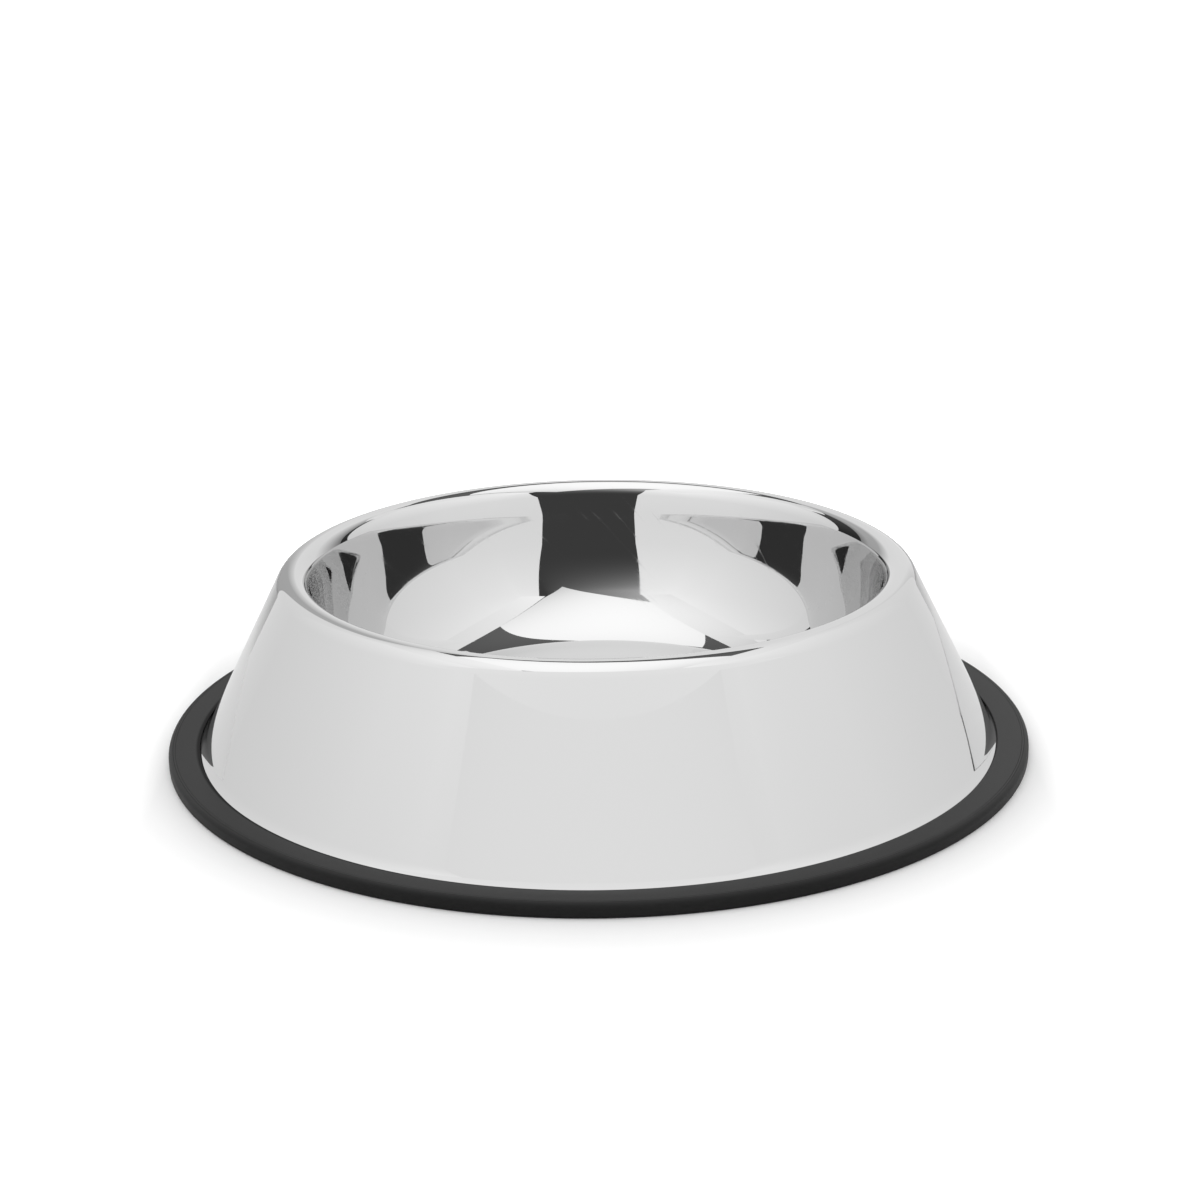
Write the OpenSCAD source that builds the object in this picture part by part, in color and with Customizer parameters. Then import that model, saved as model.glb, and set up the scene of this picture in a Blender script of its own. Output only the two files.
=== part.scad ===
// Non-tip pet bowl: one polished steel pressing and a moulded rubber ring.
// Millimetres, +Z up. The origin is on the floor, under the centre of the bowl.
// Both pieces are round, so each one is a section in the X-Y plane that is turned
// about the axis: X is the distance from the axis and Y is the height.

/* [Overall] */
// Outer diameter of the rubber ring
ring_d = 240; // [220:1:300]
// Diameter of the circle that the top of the rim makes
rim_d = 166.2; // [140:0.2:180]
// Height of the rim above the floor
rim_h = 51.2; // [45:0.1:75]

/* [Steel sheet] */
// Thickness of the steel
sheet_t = 0.5; // [0.4:0.05:0.8]
// Bend radius at the rim, on the polished face of the basin's side
lip_r = 3.4; // [1.5:0.1:4]
// Bend radius under the lip, where it eases into the basin, on the polished face
throat_r = 5.4; // [4:0.1:8]
// Bend radius from the rim into the skirt, on the polished face
shoulder_r = 5.7; // [4:0.1:9]
// Radius of the hollow fillet at the foot of the skirt, on the polished face
foot_r = 8; // [6:0.1:10]
// Width of the flat flange, outside the foot fillet
flange_w = 1.3; // [0.8:0.1:3]

/* [Basin] */
// Room between the underside of the basin and the floor
basin_lift = 3.2; // [2:0.1:8]
// Lean of the wall from upright where the lip meets the throat, in degrees
lip_lean = 51; // [40:1:60]
// Lean of the wall where the throat runs out, in degrees
throat_lean = 13.8; // [12:0.1:20]
// Lean of the wall at its steepest, in degrees
wall_lean = 9.6; // [6:0.1:12]
// Lean of the wall where its belly starts, in degrees
belly_lean = 13.6; // [12:0.1:22]
// Lean of the wall where the knuckle starts, in degrees
knuckle_lean = 30.5; // [26:0.1:36]
// Slope of the basin floor where it meets the knuckle, in degrees
floor_slope = 5.4; // [3:0.1:8]
// Radius of the run-out under the throat, as a share of the basin's depth
crown_share = 1.61; // [1:0.01:1.8]
// Radius of the wall, as a share of the basin's depth
wall_share = 2.77; // [1.5:0.01:3.2]
// Radius of the belly, as a share of the basin's depth
belly_share = 1.02; // [0.8:0.01:1.2]

/* [Rubber ring] */
// Rubber under the flange
sole_t = 0.7; // [0.6:0.1:1.5]
// Height of the ring at its outer bead
ring_h = 3.8; // [3:0.1:5]
// Height of the ring at its lip, on the steel
lip_h = 3.5; // [3:0.1:5]
// Rubber outside the flange
bead_w = 2; // [1.5:0.1:4]
// How far the sole reaches inward past the upper lip
sole_reach = 1; // [0.5:0.1:3]
// Rounding of the ring's upper outer edge
bead_round = 1.5; // [0.6:0.1:1.8]
// Rounding of the ring's lower edges
sole_round = 0.5; // [0.3:0.1:0.6]
// Rounding of the lip's nose, where it lies on the steel
nose_round = 0.3; // [0.2:0.05:0.5]
// Clearance between the steel and the slot
slot_gap = 0.1; // [0.05:0.05:0.2]

/* [Hidden] */
$fn = 180;
// The most that a drawn arc may stray from the true one
arc_slack = 0.02;

// A point on a circle, and the points along a bend between two angles
function on_circle(centre, radius, angle) = centre + radius * [cos(angle), sin(angle)];
function bend_steps(radius, turn) = ceil(abs(turn) / (2 * acos(1 - arc_slack / radius)));
function bend(centre, radius, from, to) =
    let (steps = bend_steps(radius, to - from))
    [for (i = [0:steps]) on_circle(centre, radius, from + (to - from) * i / steps)];
function reversed(points) = [for (i = [len(points) - 1:-1:0]) points[i]];
// Which way the polished face of the basin's wall looks, when it leans by an angle
function inward(lean) = [-cos(lean), sin(lean)];

// Distances from the axis, and heights
ring_r = ring_d / 2;
slot_r = ring_r - bead_w;
edge_x = slot_r - slot_gap;
foot_x = edge_x - flange_w;
rim_x = rim_d / 2;
flange_top = sole_t + sheet_t;
floor_z = basin_lift + sheet_t;
basin_depth = rim_h - floor_z;

// The bends on both sides of the rim's top, and the skirt that touches two bends
lip_c = [rim_x, rim_h - lip_r];
shoulder_c = [rim_x, rim_h - shoulder_r];
foot_c = [foot_x, flange_top + foot_r];
foot_run = foot_c - shoulder_c;
skirt_lean = atan2(foot_run.y, foot_run.x) + acos((shoulder_r + foot_r) / norm(foot_run));

// The basin's wall from the lip down: each bend starts where the last one ends
crown_r = crown_share * basin_depth;
wall_r = wall_share * basin_depth;
belly_r = belly_share * basin_depth;
throat_c = lip_c - (throat_r - lip_r) * inward(lip_lean);
crown_c = throat_c - (crown_r - throat_r) * inward(throat_lean);
wall_c = crown_c + (crown_r + wall_r) * inward(wall_lean);
belly_c = wall_c - (wall_r - belly_r) * inward(belly_lean);
belly_end = belly_c - belly_r * inward(knuckle_lean);

// The knuckle takes up the height that is left above the dished floor
floor_lean = 90 - floor_slope;
floor_rise = tan(floor_slope / 2);
knuckle_rise = sin(floor_lean) - sin(knuckle_lean);
knuckle_run = cos(knuckle_lean) - cos(floor_lean);
height_left = belly_end.y - floor_z - belly_end.x * floor_rise;
knuckle_r = height_left / (knuckle_rise - knuckle_run * floor_rise);
knuckle_c = belly_c - (belly_r - knuckle_r) * inward(knuckle_lean);
dish_r = on_circle(knuckle_c, knuckle_r, -floor_lean).x / sin(floor_slope);
dish_c = [0, floor_z + dish_r];

// One face of the sheet from the axis out: at depth 0 it is the polished face, and at
// the sheet's thickness it is the hidden one
function sheet_face(depth) = concat(
    bend(dish_c, dish_r + depth, -90, -floor_lean),
    bend(knuckle_c, knuckle_r + depth, -floor_lean, -knuckle_lean),
    bend(belly_c, belly_r + depth, -knuckle_lean, -belly_lean),
    bend(wall_c, wall_r + depth, -belly_lean, -wall_lean),
    bend(crown_c, crown_r - depth, 180 - wall_lean, 180 - throat_lean),
    bend(throat_c, throat_r - depth, 180 - throat_lean, 180 - lip_lean),
    bend(lip_c, lip_r - depth, 180 - lip_lean, 90),
    bend(shoulder_c, shoulder_r - depth, 90, skirt_lean),
    bend(foot_c, foot_r + depth, 180 + skirt_lean, 270),
    [[edge_x, flange_top - depth]]
);

module steel_bowl() {
    color("silver") rotate_extrude() polygon(concat(sheet_face(0), reversed(sheet_face(sheet_t))));
}

// The ring's lip lies on the foot fillet and ends where the fillet reaches the lip's nose
lip_run = foot_r - slot_gap;
nose_z = lip_h - nose_round;
nose_angle = asin((foot_c.y - nose_z) / lip_run);
lip_x = foot_c.x - lip_run * cos(nose_angle);
sole_x = lip_x - sole_reach;

// The ring's top is the line that touches the bead's rounding and the nose
bead_c = [ring_r - bead_round, ring_h - bead_round];
nose_c = [lip_x + nose_round, nose_z];
top_run = bead_c - nose_c;
top_lean = atan2(top_run.y, top_run.x) + acos((nose_round - bead_round) / norm(top_run));

module rubber_ring() {
    outer = concat(
        bend([sole_x + sole_round, sole_round], sole_round, 180, 270),
        bend([ring_r - sole_round, sole_round], sole_round, 270, 360),
        bend(bead_c, bead_round, 0, top_lean),
        bend(nose_c, nose_round, top_lean, 180)
    );
    slot = concat(
        bend(foot_c, lip_run, 180 + nose_angle, 270),
        [[slot_r, flange_top + slot_gap], [slot_r, sole_t], [sole_x, sole_t]]
    );
    color([0.1, 0.1, 0.1]) rotate_extrude() polygon(concat(outer, slot));
}

steel_bowl();
rubber_ring();
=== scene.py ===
# %% [markdown]
# # A non-tip pet bowl in polished steel, with a rubber ring
# The bowl is one round of thin stainless steel, drawn in a press and buffed until it is a
# mirror. Its foot is an out-turned flange that sits in a slot in a black rubber ring.
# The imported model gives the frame: its origin is on the floor under the bowl's centre,
# and every length here is in metres.

from math import acos, atan2, cos, degrees, pi, radians, sin, sqrt, tan

import bmesh
import bpy
from mathutils import Matrix, Vector


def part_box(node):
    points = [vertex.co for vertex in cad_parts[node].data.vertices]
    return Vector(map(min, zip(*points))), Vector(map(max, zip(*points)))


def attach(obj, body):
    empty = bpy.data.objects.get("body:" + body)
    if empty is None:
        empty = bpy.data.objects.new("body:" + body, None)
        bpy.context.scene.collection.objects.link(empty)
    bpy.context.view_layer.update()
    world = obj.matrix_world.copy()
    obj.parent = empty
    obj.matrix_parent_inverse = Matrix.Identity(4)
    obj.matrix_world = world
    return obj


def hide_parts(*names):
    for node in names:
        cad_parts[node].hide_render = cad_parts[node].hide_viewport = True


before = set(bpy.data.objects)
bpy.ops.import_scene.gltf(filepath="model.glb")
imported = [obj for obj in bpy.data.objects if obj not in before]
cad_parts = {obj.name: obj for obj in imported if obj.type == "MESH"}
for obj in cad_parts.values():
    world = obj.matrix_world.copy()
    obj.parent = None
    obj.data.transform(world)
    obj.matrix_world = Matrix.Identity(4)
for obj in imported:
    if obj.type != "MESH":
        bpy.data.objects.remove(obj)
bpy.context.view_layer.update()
bowl_low, bowl_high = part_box("steel_bowl")
ring_low, ring_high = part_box("rubber_ring")
print("steel from", bowl_low, "to", bowl_high)
print("rubber from", ring_low, "to", ring_high)

# %% [markdown]
# ## The sheet's section, as a list of bends
# A sheet-metal worker describes a pressing as bends: so far round this radius, so far
# straight on. The section could be drawn as a curve or typed as points. Here one vertex
# is spun about each bend centre in turn, because that keeps every radius true, and a
# mirror shows the smallest kink. The section is drawn in the X-Z plane, from the axis
# outwards, along the polished face.

# %% Driving sizes of the pressing
mm = 0.001
sheet_t = 0.5 * mm
ring_r = ring_high[0]
rim_h = bowl_high[2]
rim_r = 83.1 * mm
basin_lift = 3.2 * mm
lip_r = 3.4 * mm
throat_r = 5.4 * mm
shoulder_r = 5.7 * mm
foot_r = 8 * mm
flange_w = 1.3 * mm
sole_t = 0.7 * mm
bead_w = 2 * mm
slot_gap = 0.1 * mm

# Leans of the basin's wall from upright, from the lip down, and the slope of its floor
lip_lean, throat_lean, wall_lean, belly_lean, knuckle_lean = 51, 13.8, 9.6, 13.6, 30.5
floor_slope = 5.4

# Radii of the wall's three long bends, as shares of the basin's depth
crown_share, wall_share, belly_share = 1.61, 2.77, 1.02
floor_z = basin_lift + sheet_t
basin_depth = rim_h - floor_z
crown_r = crown_share * basin_depth
wall_r = wall_share * basin_depth
belly_r = belly_share * basin_depth
print("basin depth", round(basin_depth / mm, 2), "mm")

# %% The section's bends are spun from one vertex
class Section:
    """A chain of edges that grows outwards from the axis, bend by bend."""

    def __init__(self, start_z):
        self.bm = bmesh.new()
        self.tip = self.bm.verts.new((0, 0, start_z))
        self.heading = 0

    def go(self, length):
        grown = bmesh.ops.extrude_vert_indiv(self.bm, verts=[self.tip])
        self.tip = grown["verts"][0]
        angle = radians(self.heading)
        self.tip.co += length * Vector((cos(angle), 0, sin(angle)))

    def bend(self, radius, to, step):
        """Turn up, or down when `to` is lower, until the chain heads that way."""
        turn = to - self.heading
        side = 1 if turn > 0 else -1
        angle = radians(self.heading)
        centre = self.tip.co + side * radius * Vector((-sin(angle), 0, cos(angle)))
        spun = bmesh.ops.spin(
            self.bm,
            geom=[self.tip],
            cent=centre,
            axis=(0, -1, 0),
            angle=radians(turn),
            steps=max(4, round(abs(turn) / step)),
        )
        self.tip = spun["geom_last"][0]
        self.heading = to


# %% The basin's knuckle takes the height that is left over the dished floor
def inward(lean):
    return Vector((-cos(radians(lean)), sin(radians(lean))))


lip_c = Vector((rim_r, rim_h - lip_r))
throat_c = lip_c - (throat_r - lip_r) * inward(lip_lean)
crown_c = throat_c - (crown_r - throat_r) * inward(throat_lean)
wall_c = crown_c + (crown_r + wall_r) * inward(wall_lean)
belly_c = wall_c - (wall_r - belly_r) * inward(belly_lean)
belly_end = belly_c - belly_r * inward(knuckle_lean)
floor_rise = tan(radians(floor_slope / 2))
across = cos(radians(knuckle_lean)) - sin(radians(floor_slope))
upward = cos(radians(floor_slope)) - sin(radians(knuckle_lean))
height_left = belly_end.y - floor_z - belly_end.x * floor_rise
knuckle_r = height_left / (upward - across * floor_rise)
dish_r = (belly_end.x - knuckle_r * across) / sin(radians(floor_slope))
print("knuckle radius", round(knuckle_r / mm, 2), "dish radius", round(dish_r / mm, 1), "mm")

# %% The skirt is the line that touches the shoulder bend and the foot fillet
flange_top = sole_t + sheet_t
edge_x = ring_r - bead_w - slot_gap
shoulder_c = Vector((rim_r, rim_h - shoulder_r))
foot_c = Vector((edge_x - flange_w, flange_top + foot_r))
run = foot_c - shoulder_c
skirt_lean = degrees(atan2(run.y, run.x) + acos((shoulder_r + foot_r) / run.length))
skirt_length = sqrt(run.length_squared - (shoulder_r + foot_r) ** 2)
print("skirt lean", round(skirt_lean, 2), "length", round(skirt_length / mm, 2), "mm")

# %% Bend the section: each bend's radius, the heading at its end and its step, in degrees
foot_step = 4
section = Section(floor_z)
for radius, heading, step in (
    (dish_r, floor_slope, 0.5),
    (knuckle_r, 90 - knuckle_lean, 2),
    (belly_r, 90 - belly_lean, 1),
    (wall_r, 90 - wall_lean, 0.7),
    (crown_r, 90 - throat_lean, 0.7),
    (throat_r, 90 - lip_lean, 1.5),
    (lip_r, 0, 1.5),
    (shoulder_r, skirt_lean - 90, 3),
):
    section.bend(radius, heading, step)
section.go(skirt_length)
section.bend(foot_r, 0, foot_step)
section.go(flange_w)
print("flange ends at", [round(c / mm, 3) for c in section.tip.co])

# %% [markdown]
# ## Turn the section into the bowl
# A press draws the bowl in rounds, so the section is spun about the axis. The first
# vertex lies on the axis, and its copies are merged into one pole. The sheet's
# thickness comes from a Solidify modifier that grows it on the hidden side, so the
# polished face stays where the bends put it.

# %% Spin the bowl
round_steps = 288
same_place = 0.001 * mm


def turned(name, bm):
    """Spin an open or closed section about the axis, and close its seam and pole."""
    bmesh.ops.spin(
        bm,
        geom=bm.verts[:] + bm.edges[:],
        cent=(0, 0, 0),
        axis=(0, 0, 1),
        angle=2 * pi,
        steps=round_steps,
        use_merge=True,
        use_normal_flip=False,
    )
    bmesh.ops.remove_doubles(bm, verts=bm.verts[:], dist=same_place)
    bmesh.ops.recalc_face_normals(bm, faces=bm.faces[:])
    mesh = bpy.data.meshes.new(name)
    bm.to_mesh(mesh)
    bm.free()
    mesh.shade_smooth()
    piece = bpy.data.objects.new(name, mesh)
    bpy.context.scene.collection.objects.link(piece)
    return piece


bowl = turned("polished_bowl", section.bm)
floor_faces = [p for p in bowl.data.polygons if p.center.xy.length < belly_end.x / 2]
if sum(face.normal.z for face in floor_faces) < 0:
    bowl.data.flip_normals()
thickness = bowl.modifiers.new("sheet thickness", "SOLIDIFY")
thickness.thickness = sheet_t
thickness.offset = -1
thickness.use_even_offset = True
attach(bowl, "root")
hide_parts("steel_bowl")
print("bowl", len(bowl.data.vertices), "vertices")

# %% [markdown]
# ## The rubber ring
# The ring is moulded in one piece, with a slot for the flange. It is stretched over the
# steel, its upper lip lies on the foot fillet, and its bead stands a little proud of the
# flange so that the bowl doesn't slide. It could be a lathe of typed points. Here it is
# bent with the same tool as the steel, because the slot has to follow the fillet.

# %% The ring's sizes, and the line that touches its nose and its bead
ring_h = ring_high[2]
lip_h = 3.5 * mm
nose_round = 0.3 * mm
bead_round = 1.5 * mm
sole_round = 0.5 * mm
sole_reach = 1 * mm
lip_run = foot_r - slot_gap
nose_z = lip_h - nose_round
nose_angle = degrees(acos(sqrt(1 - ((foot_c.y - nose_z) / lip_run) ** 2)))
lip_x = foot_c.x - lip_run * cos(radians(nose_angle))
sole_x = lip_x - sole_reach
bead_c = Vector((ring_r - bead_round, ring_h - bead_round))
top_run = bead_c - Vector((lip_x + nose_round, nose_z))
top_turn = acos((nose_round - bead_round) / top_run.length)
top_lean = degrees(atan2(top_run.y, top_run.x) + top_turn)
top_length = sqrt(top_run.length_squared - (nose_round - bead_round) ** 2)
print("the ring's lip is", round(lip_x / mm, 2), "mm from the axis")

# %% Draw and turn the ring's section, with steps in degrees
sole_step, bead_step, slot_step = 15, 10, 5
ring = Section(0)
ring.tip.co = (sole_x + sole_round, 0, 0)
ring.go(ring_r - sole_round - ring.tip.co.x)
ring.bend(sole_round, 90, sole_step)
ring.go(ring_h - sole_round - bead_round)
ring.bend(bead_round, 90 + top_lean, bead_step)
ring.go(top_length)
ring.bend(nose_round, 270, bead_step)
ring.heading = nose_angle - 90
ring.bend(lip_run, 0, slot_step)
ring.go(edge_x + slot_gap - ring.tip.co.x)
ring.heading = -90
ring.go(flange_top + slot_gap - sole_t)
ring.heading = 180
ring.go(ring.tip.co.x - sole_x)
ring.heading = 270
ring.go(sole_t - sole_round)
ring.bend(sole_round, 360, sole_step)
bmesh.ops.remove_doubles(ring.bm, verts=ring.bm.verts[:], dist=same_place)
rubber = turned("moulded_ring", ring.bm)
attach(rubber, "root")
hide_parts("rubber_ring")
print("ring", len(rubber.data.vertices), "vertices")

# %% [markdown]
# ## Finishes
# Both finishes are patterns of numbers in the piece's own coordinates, so they stay put
# in every view. They could be painted pictures, but a picture has a resolution and a
# seam, and a sum has neither. A short helper writes the Math nodes, so that each finish
# reads as a few lines of arithmetic.

# %% Helpers for the materials
def new_material(name):
    made = bpy.data.materials.new(name)
    made.use_nodes = True
    return made, made.node_tree.nodes, made.node_tree.links


def sums(tree):
    """A short way to write sums with Math nodes."""

    def add_node(operation, *values):
        node = tree.nodes.new("ShaderNodeMath")
        node.operation = operation
        for socket, value in zip(node.inputs, values):
            if isinstance(value, bpy.types.NodeSocket):
                tree.links.new(value, socket)
            else:
                socket.default_value = value
        return node.outputs[0]

    return add_node


def position(tree, kind="Object"):
    """The x, y and z of a place, in the object's own coordinates or another kind."""
    coords = tree.nodes.new("ShaderNodeTexCoord")
    split = tree.nodes.new("ShaderNodeSeparateXYZ")
    tree.links.new(coords.outputs[kind], split.inputs[0])
    return split.outputs


# %% Helpers for distances and limits
def from_axis(math, x, y):
    return math("SQRT", math("ADD", math("MULTIPLY", x, x), math("MULTIPLY", y, y)))


def excess(math, value, limit):
    """How far a value is over a limit, or 0 if it isn't."""
    return math("MAXIMUM", math("SUBTRACT", value, limit), 0)


def ranged(tree, value, start, end, low, high):
    """A value that runs from `start` to `end`, made to run from `low` to `high`."""
    node = tree.nodes.new("ShaderNodeMapRange")
    node.inputs["From Min"].default_value = start
    node.inputs["From Max"].default_value = end
    node.inputs["To Min"].default_value = low
    node.inputs["To Max"].default_value = high
    tree.links.new(value, node.inputs["Value"])
    return node.outputs[0]


# %% Helpers for noise and bump
def noise(tree, parts, scale=1, detail=2):
    """Noise at a place that is made of three sums."""
    place = tree.nodes.new("ShaderNodeCombineXYZ")
    for socket, part in zip(place.inputs, parts):
        if isinstance(part, bpy.types.NodeSocket):
            tree.links.new(part, socket)
        else:
            socket.default_value = part
    made = tree.nodes.new("ShaderNodeTexNoise")
    made.inputs["Scale"].default_value = scale
    made.inputs["Detail"].default_value = detail
    tree.links.new(place.outputs[0], made.inputs["Vector"])
    return made.outputs["Fac"]


def add_bump(material, height, depth):
    """Let a sum raise the surface, by `depth` for each 1 of its value."""
    nodes, links = material.node_tree.nodes, material.node_tree.links
    bump = nodes.new("ShaderNodeBump")
    bump.inputs["Distance"].default_value = depth
    links.new(height, bump.inputs["Height"])
    links.new(bump.outputs["Normal"], nodes["Principled BSDF"].inputs["Normal"])


# %% [markdown]
# ### Polished steel
# The sheet is buffed with compound on a cloth wheel. The wheel leaves patches of hairlines
# that run up the wall at a slant. Wider strokes cross them at a small angle, and there is
# a rubbed patch where the wall turns into the floor. Such marks could be cut with bump,
# but they are too fine to bend the mirror. So a scratch is a thin line of higher
# roughness. In a dark reflection it picks up the light around and shows pale, and in a
# bright one it is gone. The only bump is a slow ripple of a hundredth of a millimetre.

# %% Sizes and strengths of the steel's marks
# Rows are counted per metre along the section, and slants per radian round the axis.
# The breaks in a mark's length are counted per radian for hairlines, per metre for strokes.
hairline_rows, hairline_slant, hairline_breaks = 1300, 90, 5
stroke_rows, stroke_slant, stroke_breaks = 500, 50, 12
stroke_level = 0.6
patch_scale = 28
rub_centre = (0.016, 0.066, 0.0145)
rub_radius = 1 / 60
steel_grey = (0.66, 0.66, 0.66, 1)
least_rough, stroke_rough, rub_rough, hairline_rough = 0.01, 0.6, 0.5, 0.3
ripple_depth = 0.01 * mm
print("hairlines every", round(1 / hairline_rows / mm, 2), "mm")
print("strokes every", round(1 / stroke_rows / mm, 2), "mm")

# %% The steel's marks, as sums of a place on it
steel, nodes, links = new_material("mirror polished steel")
tree = steel.node_tree
math = sums(tree)
x, y, z = position(tree)
around = math("ARCTAN2", y, x)
along = math("ADD", from_axis(math, x, y), z)
rows = math("MULTIPLY", along, hairline_rows)
slant = math("SUBTRACT", rows, math("MULTIPLY", around, hairline_slant))
hairlines = noise(tree, (math("MULTIPLY", around, hairline_breaks), slant, 0), detail=3)
patches = noise(tree, (x, y, z), scale=patch_scale, detail=2)
marks = math("MULTIPLY", math("POWER", hairlines, 4), math("POWER", patches, 2))
squares = [math("POWER", math("SUBTRACT", c, at), 2) for c, at in zip((x, y, z), rub_centre)]
rub_away = math("SQRT", math("ADD", math("ADD", squares[0], squares[1]), squares[2]))
rub = excess(math, 1, math("MULTIPLY", rub_away, 1 / rub_radius))
rubbed = math("MULTIPLY", rub, math("POWER", hairlines, 3))
rows = math("MULTIPLY", along, stroke_rows)
slant = math("SUBTRACT", rows, math("MULTIPLY", around, stroke_slant))
strokes = noise(tree, (slant, math("MULTIPLY", along, stroke_breaks), 0), detail=3)
streaks = excess(math, strokes, stroke_level)
print("the steel's marks take", len(nodes), "nodes")

# %% Polished steel
shader = nodes["Principled BSDF"]
shader.inputs["Metallic"].default_value = 1
shader.inputs["Base Color"].default_value = steel_grey
worn = math("ADD", math("MULTIPLY", streaks, stroke_rough), math("MULTIPLY", rubbed, rub_rough))
worn = math("ADD", worn, math("MULTIPLY", marks, hairline_rough))
links.new(math("ADD", worn, least_rough), shader.inputs["Roughness"])
add_bump(steel, patches, ripple_depth)
bowl.data.materials.append(steel)
print("polished steel on", bowl.name)

# %% [markdown]
# ### Black rubber
# The ring is filled rubber from a spark-eroded mould, so it has a fine grain all over,
# and a faint double line where the two halves of the mould met. The outer edge is duller
# from handling. Little light gets into the crevice at the steel, so it is darkened with
# painted shade, a little wider on the left, and the double line's dimmed reflection is
# painted crease shade. A plain black would do from far away. The grain and the line's
# groove are what tell rubber from paint.

# %% Sizes and strengths of the rubber's marks and painted shade
stain_scale, darkest, palest = 18, 0.008, 0.015
grain_scale, grain_share, grain_depth = 2500, 0.12, 0.06 * mm
# The mould's double line: a real groove, whose dimmed reflection is painted crease shade
seam_r, seam_half, seam_sharpness = 118.4 * mm, 0.3 * mm, 8000
# Painted shade darkens the crevice at the steel between these radii, round a centre shifted to
# the left
crevice_shade_start, crevice_shade_end = lip_x + 0.1 * mm, lip_x + 0.7 * mm
crevice_shade_shift, crevice_shade_darkest = 0.5 * mm, 0.25
worn_start, worn_end = 118.6 * mm, 119.8 * mm
rubber_rough, gloss, worn_gloss = 0.5, 0.3, 0.14
print("the mould's double line is", round(2 * seam_half / mm, 2), "mm apart")

# %% The rubber's marks and painted shade, as sums of a place on it
black, nodes, links = new_material("moulded rubber")
tree = black.node_tree
math = sums(tree)
x, y, z = position(tree)
out = from_axis(math, x, y)
grain = noise(tree, (x, y, z), scale=grain_scale, detail=2)
stain = noise(tree, (x, y, z), scale=stain_scale, detail=3)
tone = ranged(tree, stain, 0, 1, darkest, palest)
# Painted shade: darkest at the crevice at the steel, gone a little further out
lip_out = from_axis(math, math("ADD", x, crevice_shade_shift), y)
crevice_shade = ranged(tree, lip_out, crevice_shade_start, crevice_shade_end, crevice_shade_darkest, 1)
from_seam = math("ABSOLUTE", math("SUBTRACT", out, seam_r))
from_line = math("ABSOLUTE", math("SUBTRACT", from_seam, seam_half))
# The mould's double line is a real groove in the bump, and where it dims the level it is
# painted crease shade
seam_and_shade = math("MINIMUM", math("MULTIPLY", from_line, seam_sharpness), 1)
worn = ranged(tree, out, worn_start, worn_end, gloss, worn_gloss)
print("the rubber's marks take", len(nodes), "nodes")

# %% Black rubber
# The level's own number is what an export keeps, because it drops the link
exported_level = 0.25
shader = nodes["Principled BSDF"]
shader.inputs["Roughness"].default_value = rubber_rough
# Painted shade darkens the base colour in the crevice, and dims the level there and in the
# mould's double line
links.new(math("MULTIPLY", tone, crevice_shade), shader.inputs["Base Color"])
level = math("MULTIPLY", math("MULTIPLY", worn, seam_and_shade), crevice_shade)
shader.inputs["Specular IOR Level"].default_value = exported_level
links.new(level, shader.inputs["Specular IOR Level"])
add_bump(black, math("ADD", seam_and_shade, math("MULTIPLY", grain, grain_share)), grain_depth)
rubber.data.materials.append(black)
print("black rubber on", rubber.name)

# %% [markdown]
# ## The studio
# The photograph's studio can be read off the mirror: two tall white diffusers stand
# close on the left and the right and reach in overhead, with a slot left between them.
# The camera looks through the slot, and a softbox hangs over it. Behind the diffusers
# there is a pale backdrop, seen through a gap on each side. Each card's brightness is a
# short sum that was worked out from what the bowl shows of it.

# %% Helpers for the cards' light
least_glow = 0.04


def new_glow(name):
    """A card's material that only gives light, and the node that gives it."""
    made, nodes, links = new_material(name)
    nodes.remove(nodes["Principled BSDF"])
    lamp = nodes.new("ShaderNodeEmission")
    links.new(lamp.outputs[0], nodes["Material Output"].inputs["Surface"])
    return made, lamp


def graded(name, start, recipe):
    """A glow whose strength is `start` and the terms that `recipe` makes of a place."""
    made, lamp = new_glow(name)
    math = sums(made.node_tree)
    total = start
    for factor, *values in recipe(math, *position(made.node_tree)):
        for value in values:
            factor = math("MULTIPLY", factor, value)
        total = math("ADD", total, factor)
    made.node_tree.links.new(math("MAXIMUM", total, least_glow), lamp.inputs["Strength"])
    return made


# %% Helpers for the cards' shapes
def card(name, corners, material, seen=False):
    """A flat card from its corners."""
    bm = bmesh.new()
    bm.faces.new([bm.verts.new(c) for c in corners])
    mesh = bpy.data.meshes.new(name)
    bm.to_mesh(mesh)
    bm.free()
    made = bpy.data.objects.new(name, mesh)
    mesh.materials.append(material)
    bpy.context.scene.collection.objects.link(made)
    made.visible_camera = seen
    return made


def band(x_from, x_to, near, far):
    """Corners between two x values, whose near and far edges lie at a (y, z) each."""
    return [(x_from, *near), (x_to, *near), (x_to, *far), (x_from, *far)]


def flank(x, *places):
    """Corners at one x value, from their (y, z) places."""
    return [(x, *place) for place in places]


# %% [markdown]
# ### The floor
# The bowl stands on white paper. Next to the ring the paper keeps the contact shadow,
# and further away the photograph is pure white, as product pictures mostly are. The
# white could come from more light, but more light would also burn out the steel. So the
# paper glows a little for the camera only, and more with the distance from the ring.

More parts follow.
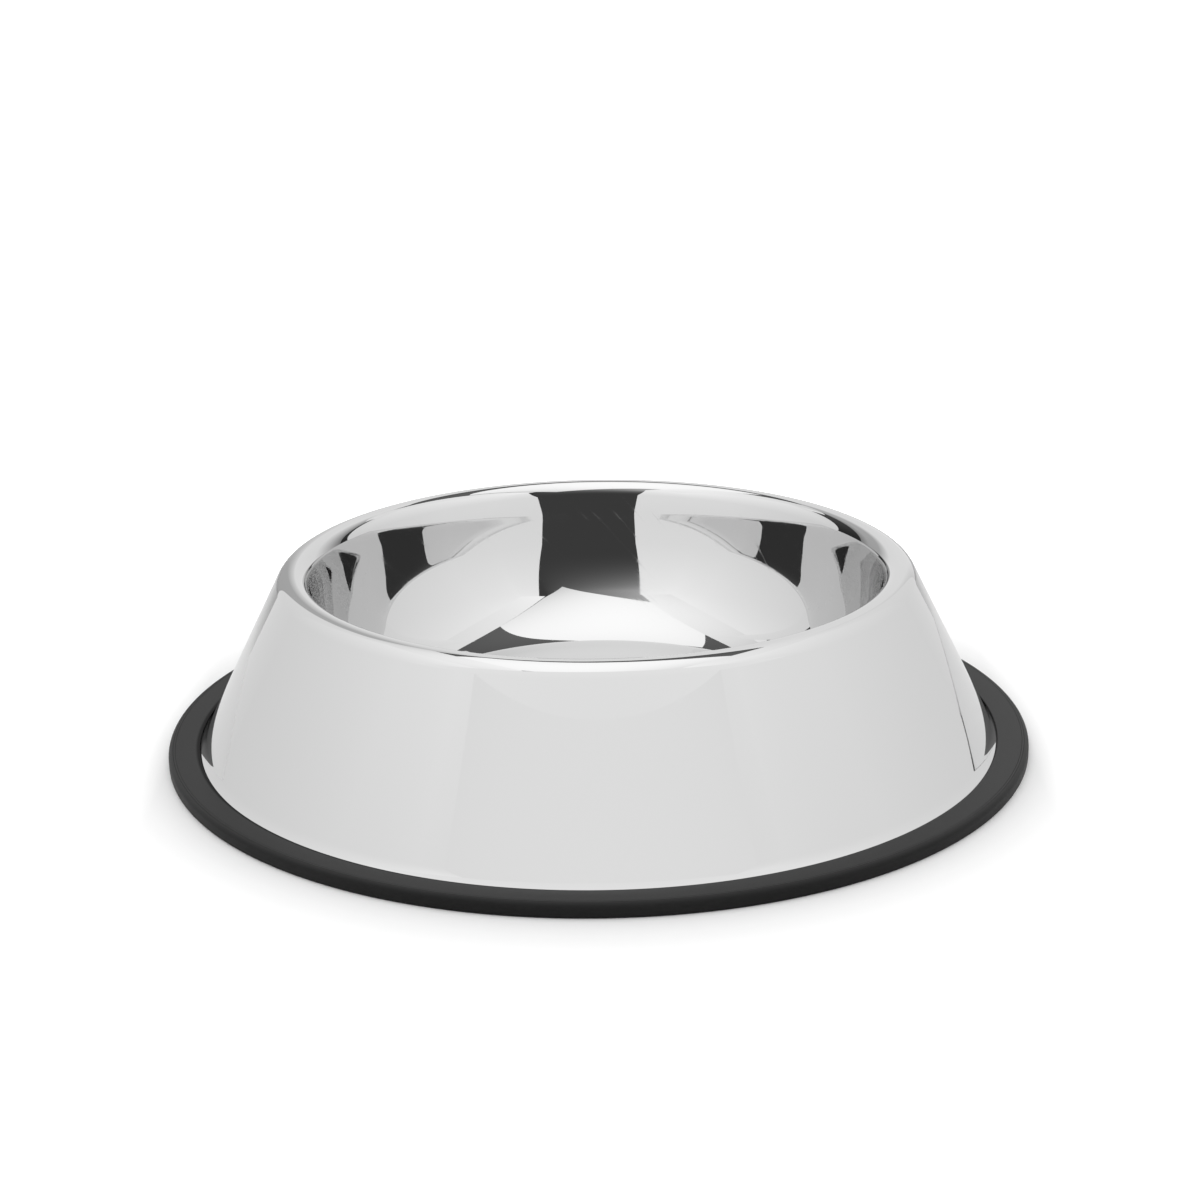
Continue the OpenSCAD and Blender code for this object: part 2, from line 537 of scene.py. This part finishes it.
# %% Floor
floor_half = 20
paper_white, white = (0.9, 0.9, 0.9, 1), (1, 1, 1, 1)
shadow_r, shadow_side = 123.5 * mm, 118 * mm
lift_away, lift_beside, least_lift = 11, 20, 0.04
paper, nodes, links = new_material("white paper")
shader = nodes["Principled BSDF"]
shader.inputs["Base Color"].default_value = paper_white
shader.inputs["Roughness"].default_value = 0.9
shader.inputs["Specular IOR Level"].default_value = 0
shader.inputs["Emission Color"].default_value = white
path = nodes.new("ShaderNodeLightPath")
math = sums(paper.node_tree)
x, y = position(paper.node_tree)[:2]
away = math("MULTIPLY", excess(math, from_axis(math, x, y), shadow_r), lift_away)
beside = excess(math, math("ABSOLUTE", x), shadow_side)
grown = math("ADD", away, math("MULTIPLY", beside, lift_beside))
grown = math("MINIMUM", math("ADD", grown, least_lift), 1)
lift = math("MULTIPLY", path.outputs["Is Camera Ray"], grown)
links.new(lift, shader.inputs["Emission Strength"])
floor_corners = band(-floor_half, floor_half, (-floor_half, 0), (floor_half, 0))
card("floor", floor_corners, paper, seen=True)
print("floor", 2 * floor_half, "m wide")

# %% [markdown]
# ### The diffusers
# Each diffuser is a box of white cloth that is lit from behind, so it is brighter towards
# the roof and darker towards the back. It could be an area light. Cards that glow are
# used instead, because the mirror shows their outline, and the outline of every gap
# between them is what draws the dark shapes in the basin.

# %% Light on the diffusers: in front of a place in y, a side's cloth is even
left_even_y, right_even_y = -0.15, -0.1
left_cloth = graded(
    "left cloth",
    0.911,
    lambda math, x, y, z: [(-0.323, math("MAXIMUM", y, left_even_y)), (0.62, z)],
)
right_cloth = graded(
    "right cloth",
    0.935,
    lambda math, x, y, z: [(-0.309, math("MAXIMUM", y, right_even_y)), (0.5, z)],
)
wing_cloth = graded("wing cloth", 0.87, lambda math, x, y, z: [(0.43, z)])
left_panel = graded("left panel", 0.975, lambda math, x, y, z: [(0.05, x), (0.62, z)])
right_panel = graded("right panel", 0.965, lambda math, x, y, z: [(0.48, z)])
left_top = graded(
    "left top", 1.46, lambda math, x, y, z: [(0.822, x), (-0.329, y), (-1.455, y, y)]
)
right_top = graded("right top", 1.316, lambda math, x, y, z: [(-0.522, x), (-0.397, y)])
shade_glow = 0.1
shade, lamp = new_glow("shaded gap")
lamp.inputs["Strength"].default_value = shade_glow
print("cloths:", [cloth.name for cloth in (left_cloth, right_cloth, wing_cloth)])

# %% Places of the diffusers
front_y, side_x, roof_z = -0.313, 0.32, 0.517
# The edges of the slot in front, at the floor and at the roof
right_low, right_high = 0.131, 0.234
left_low, left_high = -0.093, -0.172
roof_right, roof_left, roof_back = 0.206, -0.178, 0.42
wing_x = 0.2
foot_gap = 0.002
# Edges that run across, as (y, z)
front_foot, front_top, roof_end = (front_y, 0), (front_y, roof_z), (roof_back, roof_z)
left_back_low, left_back_high = (0.165, 0), (0.24, roof_z)
right_back_low, right_back_high = (0.19, foot_gap), (0.25, roof_z)
fill_places = [(0.23, 0.44), (0.36, 0.44), roof_end, (0.25, roof_z)]
print("diffusers", 2 * side_x, "m apart, roof at", roof_z, "m")

# %% Diffusers
right_front = [(right_low, *front_foot), (side_x, *front_foot)]
right_front += [(side_x, *front_top), (right_high, *front_top)]
left_front = [(-side_x, *front_foot), (left_low, *front_foot)]
left_front += [(left_high, *front_top), (-side_x, *front_top)]
right_side = flank(side_x, (front_y, foot_gap), right_back_low, right_back_high, front_top)
right_foot = flank(side_x, front_foot, (right_back_low[0], 0), right_back_low)
cards = {
    "right_front": (right_front, right_panel),
    "left_front": (left_front, left_panel),
    "right_side": (right_side, right_cloth),
    "left_side": (
        flank(-side_x, front_foot, left_back_low, left_back_high, front_top),
        left_cloth,
    ),
    "right_wing": (band(side_x, wing_x, right_back_low, right_back_high), wing_cloth),
    "left_wing": (band(-side_x, -wing_x, left_back_low, left_back_high), wing_cloth),
    "right_roof": (band(roof_right, side_x, front_top, roof_end), right_top),
    "left_roof": (band(-side_x, roof_left, front_top, roof_end), left_top),
    "left_fill": (flank(-side_x, *fill_places), left_cloth),
    "right_fill": (flank(side_x, *fill_places), right_cloth),
    "right_foot": (right_foot + [(side_x, front_y, foot_gap)], shade),
}
for name, (corners, material) in cards.items():
    card(name, corners, material)
print(len(cards), "cards make the diffusers")

# %% [markdown]
# ### What is seen through the gaps
# The pale backdrop fades out to the sides. Behind the camera the room is dark, with some
# light on its far wall, and this is what the dark column at the basin's back shows.

# %% The backdrop fades out to the sides
back_y, left_end, right_end = 0.9, -0.8, 1.1
fade_left, fade_left_run, fade_far_left, fade_right = -0.15, 0.22, -0.6, 0.43


def fading(math, x, y, z):
    left_near = math("MINIMUM", excess(math, fade_left, x), fade_left_run)
    left_far = excess(math, fade_far_left, x)
    right_far = excess(math, x, fade_right)
    return [(0.14, z), (-2.0, left_near), (-1.1, left_far), (-1.05, right_far)]


top = [(right_end, 1.36), (0.52, 1.36), (0.16, 1.0), (0, 0.88), (-0.16, 0.95), (-0.63, 1.25)]
top += [(left_end, 1.25)]
outline = [(left_end, back_y, 0), (right_end, back_y, 0)] + [(x, back_y, z) for x, z in top]
card("backdrop", outline, graded("backdrop paper", 0.9, fading))
print("the backdrop has", len(outline), "corners")

# %% A dim veil hangs behind the camera
veil_half, veil_y, veil_top = 1, -0.8, 1.8
glow_low, glow_run, glow_right = 0.293, 0.66, 0.46


def veiled(math, x, y, z):
    rise = math("MINIMUM", excess(math, z, glow_low), glow_run)
    return [(1.2, rise, rise, excess(math, glow_right, x))]


veil = band(-veil_half, veil_half, (veil_y, 0), (veil_y, veil_top))
card("veil", veil, graded("veil", 0.06, veiled))
print("the veil is", veil_top, "m high")

# %% [markdown]
# ### The softbox
# A softbox hangs over the slot, higher than the roof. Its outline was read off the
# bright patch on the basin's floor, corner by corner.

# %% Softbox over the slot, brightest in its middle
soft_z = 0.76
soft = graded(
    "softbox face",
    1.455,
    lambda math, x, y, z: [
        (-0.229, x), (0.057, y), (-1.63, x, x), (-0.459, y, y), (0.511, x, y)
    ],
)
# The corners were read off as if the softbox hung at this height
read_z = 0.5
soft_scale = soft_z / read_z
soft_corners = [(0.170, -0.492), (0.203, -0.295), (0.210, 0.064), (0.020, 0.317)]
soft_corners += [(-0.109, 0.375), (-0.189, 0.176), (-0.218, -0.178)]
card("softbox", [(soft_scale * x, soft_scale * y, soft_z) for x, y in soft_corners], soft)
print("the softbox has", len(soft_corners), "corners")

# %% [markdown]
# ### White cards in front, which only the skirt and the shoulder see
# The skirt is evenly bright in front, so it must see something white and low there, and
# the basin sees the dark slot in the same direction. So these cards glow for the short
# rays that come from the outside of the bowl, and the longer rays from the basin pass.

# %% A helper for a card that only glows for near rays
def near_card(name, corners, is_near, start, recipe):
    """A graded card that is clear, except for the glossy rays that `is_near` picks."""
    made = graded(name, start, recipe)
    nodes, links = made.node_tree.nodes, made.node_tree.links
    clear = nodes.new("ShaderNodeBsdfTransparent")
    choose = nodes.new("ShaderNodeMixShader")
    path = nodes.new("ShaderNodeLightPath")
    math = sums(made.node_tree)
    near = is_near(math, path.outputs["Ray Length"], position(made.node_tree))
    near = math("MULTIPLY", near, path.outputs["Is Glossy Ray"])
    links.new(near, choose.inputs["Fac"])
    links.new(clear.outputs[0], choose.inputs[1])
    links.new(nodes["Emission"].outputs[0], choose.inputs[2])
    links.new(choose.outputs[0], nodes["Material Output"].inputs["Surface"])
    card(name, corners, made)


# %% White cards in front
near_y, near_end, near_z = front_y + 1 * mm, -0.125, 0.15
near_glow = 1.08
front_reach_squared, roof_reach = 0.085, 0.2


def near_front(math, ray, place):
    flat = math("SUBTRACT", math("MULTIPLY", ray, ray), math("MULTIPLY", place[2], place[2]))
    return math("LESS_THAN", flat, front_reach_squared)


def near_roof(math, ray, place):
    return math("LESS_THAN", ray, roof_reach)


near_card(
    "near_front",
    band(-side_x, side_x, (near_y, 0), (near_y, roof_z)),
    near_front,
    near_glow,
    lambda math, x, y, z: [(-0.5, x, x)],
)
near_card(
    "near_roof",
    band(-side_x, side_x, (near_y, near_z), (near_end, near_z)),
    near_roof,
    near_glow,
    lambda math, x, y, z: [(0.3, math("SUBTRACT", y, front_y))],
)
print("the near cards reach from y", round(near_y, 3), "to", near_end)

# %% [markdown]
# ### The room
# The room is nearly dark in the mirror, and white where the camera looks past the floor.

# %% World: dark in the mirror, white for the camera
room_glow, room_rise = 0.03, 0.16
world = bpy.data.worlds.new("room")
bpy.context.scene.world = world
world.use_nodes = True
nodes, links = world.node_tree.nodes, world.node_tree.links
sky = nodes["Background"]
math = sums(world.node_tree)
path = nodes.new("ShaderNodeLightPath")
lifted = math("MAXIMUM", position(world.node_tree, "Generated")[2], 0)
room = math("ADD", math("MULTIPLY", math("MULTIPLY", lifted, lifted), room_rise), room_glow)
links.new(math("MAXIMUM", room, path.outputs["Is Camera Ray"]), sky.inputs["Strength"])
sky.inputs["Color"].default_value = white
print("the room glows from", room_glow, "to", room_glow + room_rise)

# %% [markdown]
# ## The camera
# The camera was solved from three curves of the photograph: the ring's outline, its
# contact with the floor, and the rim's outline. It stands 5.4 ring radii away, looks
# down on the bowl, and is turned a little so that the bowl sits where the picture has it.

# %% The camera's place and directions
camera_away = 5.4 * ring_r
camera_lift = radians(21.45)
yaw, pitch, roll = radians(-0.085), radians(3.29), radians(0.84)


def turned_by(angle, axis, *directions):
    return [Matrix.Rotation(angle, 3, axis) @ direction for direction in directions]


eye = camera_away * Vector((0, -cos(camera_lift), sin(camera_lift)))
forward = -eye.normalized()
right = Vector((1, 0, 0))
up = right.cross(forward)
forward, right = turned_by(yaw, up, forward, right)
up, forward = turned_by(pitch, right, up, forward)
right, up = turned_by(roll, forward, right, up)
print("camera at", [round(c, 3) for c in eye])

# %% Camera
# The first two were found in the photograph's pixels, and the sensor is in millimetres
photo_width, focal_length, sensor_width = 1200, 2280, 36
nearest = 0.01
bounces = 16
lens = bpy.data.cameras.new("camera")
lens.sensor_width = sensor_width
lens.lens = sensor_width * focal_length / photo_width
lens.clip_start = nearest
camera = bpy.data.objects.new("camera", lens)
camera.matrix_world = Matrix((
    (right.x, up.x, -forward.x, eye.x),
    (right.y, up.y, -forward.y, eye.y),
    (right.z, up.z, -forward.z, eye.z),
    (0, 0, 0, 1),
))
bpy.context.scene.collection.objects.link(camera)
bpy.context.scene.camera = camera
bpy.context.scene.view_settings.view_transform = "Standard"
bpy.context.scene.cycles.max_bounces = bounces
bpy.context.scene.cycles.glossy_bounces = bounces
print("lens of", round(lens.lens, 1), "mm")
